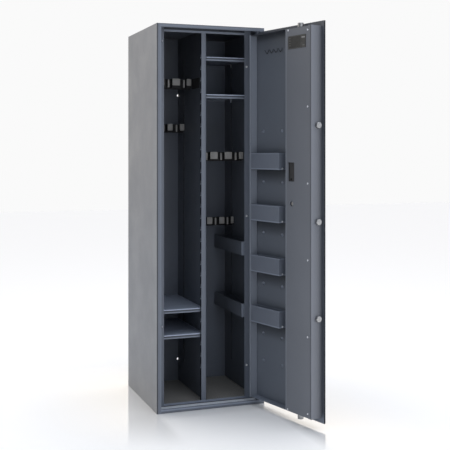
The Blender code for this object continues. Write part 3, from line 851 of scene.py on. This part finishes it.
# ------------------------------------------------------------------ shelves: folded sheet with a rolled front lip
def shelf(name, x0, x1, zt, lip_in=0.0):
    y0, y1, t = 122.0, 553.0, 1.5
    h = t / 2
    line = [(y0 + 13.5, zt - 13.0), (y0 + 13.5, zt - 19.2), (y0 + h, zt - 19.2), (y0 + h, zt - 12.6), (y0 + 3.0, zt - 10.8),
            (y0 + 3.0, zt - 7.2), (y0 + h, zt - 5.6), (y0 + h, zt - h), (y1 - h, zt - h), (y1 - h, zt - 11.5)]
    rad = [0, 1.6, 2.4, 1.2, 1.2, 1.2, 1.2, 2.6, 2.2, 0]
    # the front lip is cut shorter than the shelf so that it clears the partition
    v, f = folded_sheet(line[:8] + [(y0 + 16.0, zt - h)], t, "x", x0 + lip_in, x1, rad[:8] + [0], 4, 1)
    b = Build()
    b.add(v, f)
    v, f = folded_sheet([(y0 + 15.0, zt - h)] + line[8:], t, "x", x0, x1, [0, 2.2, 0], 4, 1)
    b.add(v, f)
    ob = new_object(name.replace("shelf", "folded_shelf"), b.v, b.f, "cabinet", ["shelf", "bead_lit", "groove_shade", "shelf_top_lit"],
                    replaces=(name,))
    # painted highlight on the top faces and the lip's bead, painted shade in the lip's groove
    for poly in ob.data.polygons:
        c, nz = poly.center * 1000.0, poly.normal.z
        drop = zt - c.z
        if nz > 0.8 and c.y > y0 + 3.0 and drop < 2.0:
            poly.material_index = 3
        elif c.y < y0 + 5.0 and drop < 5.2:
            poly.material_index = 1
        elif c.y < y0 + 5.0 and drop < 13.4:
            poly.material_index = 2
    sharpen(ob, 50)
    # hooks that hang the shelf in the slotted rails
    b = Build()
    for xs, sx in ((x0, 1.0), (x1, -1.0)):
        for yc in (451.0, 134.0):
            q = [(xs + sx * 1.2, zt - 22.0), (xs + sx * 1.2, zt - 3.2), (xs + sx * 15.0, zt - 3.2)]
            v, f = folded_sheet(q, 1.6, "y", yc - 6.0, yc + 6.0, 1.6, 4, 1)
            b.add(v, f)
    clips = new_object(name.replace("shelf", "shelf_hooks"), b.v, b.f, "cabinet", "zinc")
    sharpen(clips, 50)


LX0, LX1, RX0, RX1 = 6.3, 272.2, 278.8, 541.7
shelf("shelf_left_upper", LX0, LX1, 468.0)
shelf("shelf_left_lower", LX0, LX1, 343.0)
shelf("shelf_right_upper", RX0, RX1, 1713.0, 8.5)
shelf("shelf_right_lower", RX0, RX1, 1526.5, 8.5)


# ------------------------------------------------------------------ barrel and stock racks: napped foam on a near-black carrier, its dark finish deepened as painted shade for the gaps between pads
def rack(tag, x0, x1, yf, z0, z1, teeth, ridges, depth=34.0, lift=5.0):
    ys, yb = yf + depth - 10.0, yf + depth
    b = Build()
    for a, c in teeth:
        v, f = rounded_box(a + 1.6, c - 2.0, yf + 0.6, yf + 5.4, z0 + lift, z1 - 0.6, 2.0, 3, 0.5, 4)
        b.add(v, f, 0)
        v, f = rounded_box(a + 0.4, c - 0.4, yf + 3.8, yb - 1.2, z0 + 0.9, z1 - 0.9, 1.4, 3, 0.0, 3)
        b.add(v, f, 1)
    for a, c in ridges:
        v, f = rounded_box(a + 3.4, c - 0.4, ys - 7.6, ys - 3.0, z0 - 3.6 + lift * 0.55, z1 - 5.0, 1.8, 3, 0.4, 3)
        b.add(v, f, 0)
        v, f = rounded_box(a + 0.4, c - 0.4, ys - 4.4, yb - 1.4, z0 - 3.2, z1 - 5.4, 1.2, 3, 0.0, 2)
        b.add(v, f, 1)
    v, f = rounded_box(x0, x1, ys + 4.0, yb - 0.1, z0 - 4.4, z0 + 2.8, 1.2, 2, 0.0, 3)
    b.add(v, f, 1)
    v, f = rounded_box(x0, x1, yb - 3.4, yb - 0.1, z0 - 3.0, z1 - 3.0, 1.0, 2, 0.0, 3)
    b.add(v, f, 1)
    ob = new_object(tag + "_pads", b.v, b.f, "cabinet", ["foam", "carrier_dark_shade"], face_mats=b.m,
                    replaces=(tag + "_foam",))
    # the nap makes the faces uneven by a few tenths of a millimetre
    rng = np.random.default_rng(7)
    co = np.array([p.co for p in ob.data.vertices])
    no = np.array([p.normal for p in ob.data.vertices])
    ph = rng.uniform(0, 6.28, 3)
    wob = (np.sin(co[:, 0] * 420 + ph[0]) + np.sin(co[:, 2] * 380 + ph[1]) + np.sin(co[:, 1] * 300 + ph[2])) / 3
    co = co - no * (0.0003 * (0.5 + 0.5 * wob))[:, None]
    ob.data.vertices.foreach_set("co", co.astype(np.float32).ravel())
    ob.data.update()
    return ob


rack("rack_left_upper", 8.0, 271.5, 305.0, 1567.0, 1615.0,
     [(8.0, 43.0), (83.0, 127.0), (167.0, 211.0), (243.6, 271.5)], [(58.0, 70.5), (145.0, 157.5), (227.0, 240.0)], lift=13.0)
rack("rack_left_lower", 8.0, 271.5, 424.0, 1346.5, 1387.0,
     [(38.0, 69.0), (107.0, 137.5), (176.5, 207.0), (244.5, 271.5)], [(16.0, 28.0), (84.0, 96.0), (153.5, 165.0), (224.0, 236.0)])
rack("rack_right_upper", 279.5, 540.0, 256.0, 1198.0, 1240.0,
     [(279.5, 319.5), (355.0, 398.5), (433.6, 477.0), (512.5, 540.0)], [(334.0, 347.0), (413.0, 425.5), (493.5, 507.0)])
rack("rack_right_lower", 279.5, 540.0, 400.0, 852.0, 893.0,
     [(318.5, 351.0), (387.0, 419.5), (455.0, 487.7), (522.0, 540.0)], [(297.0, 309.0), (365.0, 377.0), (433.5, 446.0), (501.0, 514.0)])


# ------------------------------------------------------------------ felt mat on the cabinet floor
def floor_felt():
    nx, ny = 60, 52
    x0, x1, y0, y1, z0 = 5.6, 542.4, 101.8, 554.4, 4.5
    rng = np.random.default_rng(11)
    ph = rng.uniform(0, 6.28, 6)
    verts, faces = [], []
    for side in (0, 1):
        for j in range(ny + 1):
            for i in range(nx + 1):
                u, w = i / nx, j / ny
                x, y = x0 + (x1 - x0) * u, y0 + (y1 - y0) * w
                edge = min(u, 1 - u, w, 1 - w) * 60
                top = z0 + 3.1 + 0.35 * math.sin(9 * u + ph[0]) * math.sin(7 * w + ph[1]) + 0.15 * math.sin(31 * u + ph[2] + 5 * w)
                if edge < 1.0:
                    top = z0 + 1.9 + (top - z0 - 1.9) * math.sqrt(edge)
                verts.append((x, y, top if side else z0))
    n = (nx + 1) * (ny + 1)
    for j in range(ny):
        for i in range(nx):
            a = j * (nx + 1) + i
            faces.append((a + n, a + n + 1, a + n + nx + 2, a + n + nx + 1))
            faces.append((a, a + nx + 1, a + nx + 2, a + 1))
    rim = [i for i in range(nx + 1)] + [j * (nx + 1) + nx for j in range(1, ny + 1)] + \
          [ny * (nx + 1) + i for i in range(nx - 1, -1, -1)] + [j * (nx + 1) for j in range(ny - 1, 0, -1)]
    for k in range(len(rim)):
        a, b = rim[k], rim[(k + 1) % len(rim)]
        faces.append((a, b, b + n, a + n))
    ob = new_object("felt_mat", verts, faces, "cabinet", "mat", replaces=("floor_mat",))
    return ob


floor_felt()

# ------------------------------------------------------------------ bolts
BOLT_Y, BOLT_R = 31.0, 14.0


def turned_bolt(name, body, origin, turn, length, replaces=()):
    """Bolt with a chamfered, faced end and one turned ring, local +Z towards its end, end at z = 0."""
    r = BOLT_R
    prof = [(0.0, -length), (r - 0.8, -length), (r, -length + 0.8), (r, -7.0), (r - 0.35, -6.6), (r - 0.35, -5.6), (r, -5.2), (r, -2.6)]
    prof += arc(r - 2.6, -2.6, 2.6, 0, 70, 4)[1:]
    prof += [(r - 2.8, -0.05), (r - 4.6, -0.02), (r - 5.0, -0.45), (r - 5.6, -0.45), (r - 6.0, -0.10), (3.2, -0.10), (2.2, -1.0), (0.0, -2.4)]
    v, f = lathe(prof, 56)
    ob = new_object(name, v, f, body, "steel", origin=origin, turn=turn, replaces=replaces)
    sharpen(ob, 38)
    return ob


def rod(name, body, parts, mat="bar", replaces=()):
    b = Build()
    for (x0, x1, y0, y1, z0, z1, r) in parts:
        v, f = rounded_box(x0, x1, y0, y1, z0, z1, r, 2, 0.0, 1)
        b.add(v, f)
    ob = new_object(name, b.v, b.f, body, mat, replaces=replaces)
    sharpen(ob, 50)
    return ob


rod("bolt_bar", "lateral_bolts", [(70.0, 96.0, 28.0, 34.0, 440.0, 1420.0, 1.2), (90.0, 142.0, 28.0, 34.0, 990.0, 1015.0, 1.2)],
    replaces=("bolt_carrier",))
for k, z in enumerate((494.0, 927.0, 1360.0)):
    turned_bolt("lateral_bolt_%d" % (k + 1), "lateral_bolts", (25.5, BOLT_Y, z), TO_MINUS_X, 58.0)
turned_bolt("top_bolt_end", "top_bolt", (159.0, BOLT_Y, 1832.0), UP, 77.0, replaces=("bolt_top",))
rod("top_bolt_rod", "top_bolt", [(153.0, 165.0, 28.0, 34.0, 1042.0, 1757.0, 1.2)])
turned_bolt("bottom_bolt_end", "bottom_bolt", (159.0, BOLT_Y, 18.2), TO_MINUS_Z, 79.8, replaces=("bolt_bottom",))
rod("bottom_bolt_rod", "bottom_bolt", [(153.0, 165.0, 28.0, 34.0, 96.0, 963.0, 1.2)])

# ------------------------------------------------------------------ outside handle, rosette and key plate
v, f = lathe([(0.0, -17.4), (13.0, -17.4)] + arc(13.2, -15.7, 1.7, -85, 0, 4) + [(14.9, -8.0), (14.0, -4.0), (14.4, -1.0)] +
             arc(13.4, -1.0, 1.0, 0, 90, 4) + [(0.0, 0.0)], 56)
b = Build()
b.add(placed([(x, y, z) for x, y, z in v], TO_PLUS_Y, (SPIN_X, -22.4, SPIN_Z)), f)


def lever():
    """A lever that narrows and rounds towards its tip."""
    verts, faces, rings = [], [], []
    stations = np.linspace(0, 1, 26)
    x0, x1 = SPIN_X - 2.0, SPIN_X + 117.6
    for s in stations:
        x = x0 + (x1 - x0) * s
        hz = 9.0 - 2.2 * s
        hy = 5.6 - 0.9 * s
        if s > 0.90:
            k = math.sqrt(max(0.0, 1 - ((s - 0.90) / 0.10) ** 2))
            hz, hy = max(0.6, hz * k), max(0.4, hy * k)
        yc = -32.8 + 0.0 * s
        ring = []
        for i in range(24):
            a = 2 * math.pi * i / 24
            ca, sa = math.cos(a), math.sin(a)
            e = 0.62
            ring.append(len(verts))
            verts.append((x, yc + hy * math.copysign(abs(ca) ** e, ca), SPIN_Z + hz * math.copysign(abs(sa) ** e, sa)))
        rings.append(ring)
    for a, c in zip(rings, rings[1:]):
        for i in range(24):
            j = (i + 1) % 24
            faces.append((a[i], a[j], c[j], c[i]))
    faces.append(tuple(rings[0][::-1]))
    faces.append(tuple(rings[-1]))
    return verts, faces


v, f = lever()
b.add(v, f)
ob = new_object("lever_handle", b.v, b.f, "handle", "satin", replaces=("handle",))
sharpen(ob, 45)
prof = [(8.4, 0.0), (27.5, 0.0), (29.0, -1.0), (29.0, -3.2)] + arc(26.0, -3.2, 3.0, 0, -80, 5)[1:] + [(20.0, -6.5), (18.5, -6.0), (10.0, -6.0),
                                                                                              (8.4, -5.4), (8.4, 0.0)]
n = 64
verts, faces = [], []
for r, h in prof[:-1]:
    verts.extend((r * math.cos(2 * math.pi * i / n), r * math.sin(2 * math.pi * i / n), h) for i in range(n))
m_ = len(prof) - 1
for k in range(m_):
    for i in range(n):
        j, q = (i + 1) % n, (k + 1) % m_
        faces.append((k * n + i, k * n + j, q * n + j, q * n + i))
ob = new_object("rosette", placed(verts, TO_PLUS_Y, (SPIN_X, -0.35, SPIN_Z)), faces, "door", "satin",
                replaces=("handle_rosette",))
sharpen(ob, 40)

# ------------------------------------------------------------------ screws
COVER_Y = 69.5
screw_set("cover_screws", "door", [(202.0, COVER_Y, 1798.0, TO_PLUS_Y, 12), (62.0, COVER_Y, 1786.0, TO_PLUS_Y, 40),
                                   (62.0, COVER_Y, 1443.0, TO_PLUS_Y, 5), (62.0, COVER_Y, 1099.0, TO_PLUS_Y, 33),
                                   (62.0, COVER_Y, 756.0, TO_PLUS_Y, 50), (62.0, COVER_Y, 412.5, TO_PLUS_Y, 21),
                                   (206.0, COVER_Y, 57.0, TO_PLUS_Y, 44), (62.0, COVER_Y, 69.0, TO_PLUS_Y, 9)], 4.4, 2.6)
screw_set("pocket_screws", "door", [(273.0, 48.0, z, TO_MINUS_X, 17 * k) for k, z in enumerate((1161.5, 913.6, 667.2, 422.0))], 4.6, 2.4)
# painted light on the right stile screws, painted shade on the left ones
screw_set("stile_screws", "cabinet", [(493.0, 97.0, 1666.0, TO_MINUS_Y, 8), (493.0, 97.0, 918.0, TO_MINUS_Y, 37),
                                      (493.0, 97.0, 171.0, TO_MINUS_Y, 52)], 5.0, 2.8, "zinc_pale")
screw_set("stile_screws_left", "cabinet", [(54.0, 97.0, 1779.0, TO_MINUS_Y, 15), (54.0, 97.0, 392.0, TO_MINUS_Y, 29)], 5.0, 2.8, "zinc_dull")

# ------------------------------------------------------------------ recess panel: pressed fixing holes for the pockets
FIX_SPOTS = [(x, z) for z in (1340.0, 1094.0, 848.0, 603.0, 360.0, 231.0) for x in (449.0, 303.0)]
LONG = 1.45                              # the pressed seats are oblong, wider than high


def oval(profile, x, z, y0):
    v, f = lathe(profile, 32)
    return [(x + px * LONG, y0 + pz, z + py) for px, py, pz in v], f


holes = Build()
for x, z in FIX_SPOTS:
    v, f = oval([(0.0, -6.0), (7.9, -6.0), (7.9, 6.0), (0.0, 6.0)], x, z, 25.8)
    holes.add(v, f)
cutter = cut(None, holes.v, holes.f, "fixing_hole_cutter")
cutter.matrix_world = DOOR
panel = NODES["recess_panel"].copy()
panel.data = NODES["recess_panel"].data.copy()
bpy.context.scene.collection.objects.link(panel)
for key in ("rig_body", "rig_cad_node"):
    if key in panel:
        del panel[key]
panel.parent = None
panel.matrix_world = Matrix.Identity(4)
panel.name = "recess_panel_pierced"
solid_difference(panel, cutter)
panel.data.materials.clear()
panel.data.materials.append(M["recess_panel"])
panel.data.materials.append(M["hook"])
to_door = DOOR.inverted() @ panel.matrix_world
for poly in panel.data.polygons:
    if (to_door @ poly.center).y > 0.0272:
        poly.material_index = 1
bevel(panel, 0.35, 2, 30)
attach(panel, "door")
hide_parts("recess_panel")

seats = Build()
for x, z in FIX_SPOTS:
    # a dished seat behind each opening with a dark eye in its middle, coloured with the lighter copy of the door paint
    # as a painted highlight
    dish = [(0.0, 17.6), (6.4, 17.6), (8.6, 20.6), (8.6, 24.4), (7.7, 24.4), (7.3, 23.6), (5.6, 21.2), (3.0, 20.2), (2.2, 19.0), (0.0, 19.0)]
    v, f = oval(dish, x, z, 0.0)
    seats.add(v, f)
ob = new_object("fixing_seats", seats.v, seats.f, "door", "door_lit")
sharpen(ob, 60)

v, f = lathe([(0.0, -0.5), (5.6, -0.5), (5.6, 0.9), (4.8, 1.6), (2.4, 1.6), (2.0, 0.7), (0.0, 0.7)], 28)
ob = new_object("lock_case_plug", placed(v, TO_PLUS_Y, (185.0, 65.2, 1114.5)), f, "door", "hole")
sharpen(ob, 40)

# ------------------------------------------------------------------ blank rating plate
RX0_, RX1_, RZ0, RZ1, RY = 74.0, 202.7, 1710.0, 1770.0, COVER_Y + 0.3
b = Build()
v, f = rounded_box(RX0_, RX1_, RY, RY + 0.9, RZ0, RZ1, 0.4, 2, 0.0, 2)
b.add(v, f, 0)
v, f = rounded_box(RX0_ + 3.0, RX0_ + 38.0, RY + 0.6, RY + 1.05, RZ0 + 4.0, RZ1 - 4.0, 0.2, 1, 0.0, 1)
b.add(v, f, 1)
MARKS = [(RX0_ + 6.0, RX0_ + 30.0, RZ1 - 16.0, RZ1 - 9.0, 2), (RX0_ + 8.0, RX0_ + 24.0, RZ0 + 9.0, RZ0 + 14.0, 3),
         (RX0_ + 3.0, RX1_ - 3.0, RZ1 - 3.6, RZ1 - 1.8, 3), (RX0_ + 3.0, RX1_ - 3.0, RZ0 + 1.8, RZ0 + 3.6, 3),
         (RX1_ - 5.0, RX1_ - 3.0, RZ0 + 4.0, RZ1 - 4.0, 3)]
MARKS += [(RX1_ - 19.0, RX1_ - 8.0, z - 1.8, z + 1.8, 3) for z in (RZ1 - 11.0, RZ1 - 22.0, RZ1 - 33.0, RZ0 + 16.0)]
for x0, x1, z0, z1, k in MARKS:
    v, f = rounded_box(x0, x1, RY + 0.8, RY + 1.2, z0, z1, 0.2, 1, 0.0, 1)
    b.add(v, f, k)
ob = new_object("blank_rating_plate", b.v, b.f, "door", ["label_dark", "label_mid", "label_light", "label_line"], face_mats=b.m,
                replaces=("rating_plate",), smooth=False)

# ------------------------------------------------------------------ studio
SUN = 0.956
# strength of the surroundings by direction, and power of each softbox, all relative to the paper behind
SKY = {"left": 0.0, "middle": 0.37, "right": 0.68, "rear": 1.07, "up": 0.36}
BOX = {"top": 46.0, "right": 3.0, "front": 26.0}


def studio():
    # floor: pale, with a soft sheen round the foot of the cabinet and door
    xs = np.concatenate([np.linspace(-14, -1.4, 22), np.linspace(-1.35, 1.6, 90), np.linspace(1.8, 14, 20)])
    ys = np.concatenate([np.linspace(-14, -2.3, 20), np.linspace(-2.25, 1.3, 110), np.linspace(1.5, 14, 20)])
    verts = [(x, y, 0.0) for y in ys for x in xs]
    nx = len(xs)
    faces = [(j * nx + i, j * nx + i + 1, (j + 1) * nx + i + 1, (j + 1) * nx + i) for j in range(len(ys) - 1) for i in range(nx - 1)]
    me = bpy.data.meshes.new("studio_floor")
    me.from_pydata(verts, [], faces)
    P = np.array(verts)[:, :2]
    q = np.abs(P) - np.array((0.274, 0.280))
    d1 = np.linalg.norm(np.maximum(q, 0), axis=1)
    a = np.array((PIVOT[0] / 1000 - 0.274, PIVOT[1] / 1000 - 0.280))
    u = np.array((-math.cos(OPEN), -math.sin(OPEN)))
    t = np.clip((P - a) @ u, 0, 0.497)
    d2 = np.linalg.norm(P - a - t[:, None] * u, axis=1)
    dist = np.minimum(d1, d2)
    g = 0.55 * np.clip(1 - dist / 0.50, 0, 1) ** 1.15
    before = np.clip((-0.272 - P[:, 1]) / 0.03, 0, 1) * np.clip((0.30 - np.abs(P[:, 0])) / 0.05, 0, 1)
    g *= 1.0 - before * (0.42 + 0.38 * np.clip((-0.310 - P[:, 1]) / 0.08, 0, 1))
    g *= np.where(d2 < d1, 0.95, 1.0)
    at = me.attributes.new("sheen", "FLOAT", "POINT")
    at.data.foreach_set("value", g.astype(np.float32))
    floor = bpy.data.objects.new("studio_floor", me)
    bpy.context.scene.collection.objects.link(floor)
    mat = bpy.data.materials.new("studio_floor")
    mat.use_nodes = True
    nt = mat.node_tree
    p = nt.nodes["Principled BSDF"]
    p.inputs["Base Color"].default_value = (0.95, 0.95, 0.95, 1)
    p.inputs["Emission Color"].default_value = (1, 1, 1, 1)
    p.inputs["Emission Strength"].default_value = 0.06
    p.inputs["Roughness"].default_value = 0.9
    p.inputs["Specular IOR Level"].default_value = 0.0
    gl = nt.nodes.new("ShaderNodeBsdfGlossy")
    gl.inputs["Roughness"].default_value = 0.06
    gl.inputs["Color"].default_value = (1.0, 0.985, 0.955, 1)
    mx = nt.nodes.new("ShaderNodeMixShader")
    an = nt.nodes.new("ShaderNodeAttribute")
    an.attribute_name = "sheen"
    nt.links.new(an.outputs["Fac"], mx.inputs[0])
    nt.links.new(p.outputs[0], mx.inputs[1])
    nt.links.new(gl.outputs[0], mx.inputs[2])
    nt.links.new(mx.outputs[0], nt.nodes["Material Output"].inputs["Surface"])
    me.materials.append(mat)

    world = bpy.data.worlds.new("studio")
    bpy.context.scene.world = world
    world.use_nodes = True
    nt = world.node_tree
    bg = nt.nodes["Background"]
    bg.inputs["Color"].default_value = (1, 1, 1, 1)
    tc = nt.nodes.new("ShaderNodeTexCoord")
    sep = nt.nodes.new("ShaderNodeSeparateXYZ")
    nt.links.new(tc.outputs["Generated"], sep.inputs[0])
    # a dim room to the front left, brighter to the right, white paper behind
    def ramp(source, a0, a1, b0=0.0, b1=1.0, kind="SMOOTHSTEP"):
        n = nt.nodes.new("ShaderNodeMapRange")
        n.interpolation_type = kind
        for key, val in (("From Min", a0), ("From Max", a1), ("To Min", b0), ("To Max", b1)):
            n.inputs[key].default_value = val
        nt.links.new(source, n.inputs["Value"])
        return n.outputs["Result"]

    def blend_values(fac, a_, b_):
        n = nt.nodes.new("ShaderNodeMix")
        n.data_type = "FLOAT"
        for k, v_ in ((0, fac), (2, a_), (3, b_)):
            if isinstance(v_, float):
                n.inputs[k].default_value = v_
            else:
                nt.links.new(v_, n.inputs[k])
        return n.outputs[0]
    to_left = ramp(sep.outputs[0], -0.50, -0.90)
    to_right = ramp(sep.outputs[0], -0.20, 0.50)
    to_rear = ramp(sep.outputs[1], -0.10, 0.50)
    level = blend_values(to_right, blend_values(to_left, SKY["middle"], SKY["left"]), SKY["right"])
    level = blend_values(to_rear, level, SKY["rear"])
    add = nt.nodes.new("ShaderNodeMath")
    add.operation = "ADD"
    nt.links.new(level, add.inputs[0])
    nt.links.new(ramp(sep.outputs[2], 0.0, 1.0, 0.0, SKY["up"], "LINEAR"), add.inputs[1])
    lp = nt.nodes.new("ShaderNodeLightPath")

    def blend_colours(fac, a_, b_):
        n = nt.nodes.new("ShaderNodeMix")
        n.data_type = "RGBA"
        nt.links.new(fac, n.inputs["Factor"])
        for sock, v_ in zip([q for q in n.inputs if q.type == "RGBA"], (a_, b_)):
            if isinstance(v_, tuple):
                sock.default_value = v_ + (1.0,)
            else:
                nt.links.new(v_, sock)
        return [q for q in n.outputs if q.type == "RGBA"][0]
    tint = blend_colours(to_rear, (0.94, 0.985, 1.07), (1.045, 1.0, 0.945))
    nt.links.new(blend_colours(lp.outputs["Is Camera Ray"], tint, (1.0, 1.0, 1.0)), bg.inputs["Color"])
    nt.links.new(blend_values(lp.outputs["Is Camera Ray"], add.outputs[0], SUN), bg.inputs["Strength"])

    def softbox(name, loc, target, size, power, colour=(1, 1, 1)):
        l = bpy.data.lights.new(name, "AREA")
        l.shape = "RECTANGLE"
        l.size, l.size_y = size
        l.energy = power
        l.color = colour
        o = bpy.data.objects.new(name, l)
        bpy.context.scene.collection.objects.link(o)
        o.location = loc
        o.rotation_euler = (Vector(target) - Vector(loc)).to_track_quat("-Z", "Y").to_euler()
        return o
    softbox("softbox_top", (-0.3, -0.6, 4.6), (0.0, -0.2, 0.6), (3.6, 3.6), BOX["top"], (0.93, 0.98, 1.05))
    softbox("softbox_right", (3.2, -3.4, 1.8), (0.2, -0.4, 0.9), (1.6, 2.6), BOX["right"], (0.96, 0.99, 1.03))
    softbox("softbox_front", (0.4, -5.2, 1.6), (0.0, -0.1, 0.9), (2.2, 1.8), BOX["front"], (0.95, 0.99, 1.05))


studio()

cam = bpy.data.cameras.new("camera")
cam_ob = bpy.data.objects.new("camera", cam)
bpy.context.scene.collection.objects.link(cam_ob)
cam.sensor_width = 36.0
cam.lens = 71.563
cam.shift_x = 0.0
cam.shift_y = -0.16602
cam.clip_start, cam.clip_end = 0.05, 100.0
cam_ob.location = (-1.42095, -4.35983, 1.24752)
cam_ob.rotation_euler = (math.pi / 2, 0.0, -0.350)
bpy.context.scene.camera = cam_ob
bpy.context.scene.view_settings.view_transform = "Standard"
bpy.context.scene.view_settings.look = "None"
